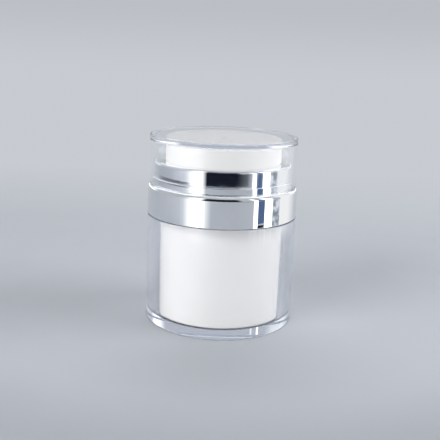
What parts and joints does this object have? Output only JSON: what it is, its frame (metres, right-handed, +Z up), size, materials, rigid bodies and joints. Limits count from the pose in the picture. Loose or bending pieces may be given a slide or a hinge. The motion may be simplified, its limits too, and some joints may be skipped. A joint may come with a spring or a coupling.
{
  "type": "airless pump bottle",
  "caption": "Squat round airless pump bottle: clear thick-walled jar around a white inner bottle, chromed collar, white press plate and clear pull-off cap.",
  "frame": {"origin": "middle of the foot, on the plane the bottle stands on", "axes": "+Z up along the bottle's axis; +X and +Y are any two square directions, as the outside is round"},
  "size_m": [0.062, 0.062, 0.077],
  "materials": {
    "clear_acrylic": "polished clear acrylic",
    "white_polypropylene": "smooth white moulded plastic",
    "natural_polypropylene": "natural moulded plastic",
    "soft_polyethylene": "soft sealing plastic",
    "chromed_collar": "chromed plastic, mirror bright",
    "spring_steel": "bright stainless steel",
    "silicone": "translucent silicone"
  },
  "bodies": {
    "bottle": {"outer_jar": "clear_acrylic", "inner_bottle": "white_polypropylene"},
    "follower": {"follower_piston": "soft_polyethylene"},
    "neck_seal": {"neck_gasket": "soft_polyethylene"},
    "head": {"collar": "chromed_collar", "threaded_insert": "white_polypropylene", "pump_cylinder": "natural_polypropylene", "cylinder_gasket": "soft_polyethylene", "stem_guide": "natural_polypropylene", "ball_retainer": "natural_polypropylene", "return_spring": "spring_steel"},
    "press": {"press_plate": "white_polypropylene", "plate_hub": "natural_polypropylene", "orifice_valve": "silicone", "stem": "natural_polypropylene", "pump_piston": "soft_polyethylene", "stem_foot": "natural_polypropylene"},
    "inlet_valve": {"inlet_ball": "spring_steel"},
    "lid": {"cap": "clear_acrylic"}
  },
  "joints": [
    {"name": "head_lift", "type": "slide", "parent": "bottle", "child": "neck_seal", "axis": [0, 0, 1], "range_m": [0, 0.0045]},
    {"name": "head_turn", "type": "hinge", "parent": "neck_seal", "child": "head", "pos_m": [0, 0, 0.05], "axis": [0, 0, 1], "range_deg": [0, 541]},
    {"name": "press_stroke", "type": "slide", "parent": "head", "child": "press", "axis": [0, 0, -1], "range_m": [0, 0.0045], "stiffness_N_per_m": 1500, "springref_m": -0.0004, "deforming": ["return_spring"]},
    {"name": "inlet_lift", "type": "slide", "parent": "head", "child": "inlet_valve", "axis": [0, 0, 1], "range_m": [0, 0.0008]},
    {"name": "cap_pull", "type": "slide", "parent": "head", "child": "lid", "axis": [0, 0, 1], "range_m": [0, 0.03]},
    {"name": "follower_rise", "type": "slide", "parent": "bottle", "child": "follower", "axis": [0, 0, 1], "range_m": [0, 0.0311]}
  ],
  "couplings": [
    {"joint": "head_turn", "follows": "head_lift", "rad_per_m": 2094.4}
  ]
}
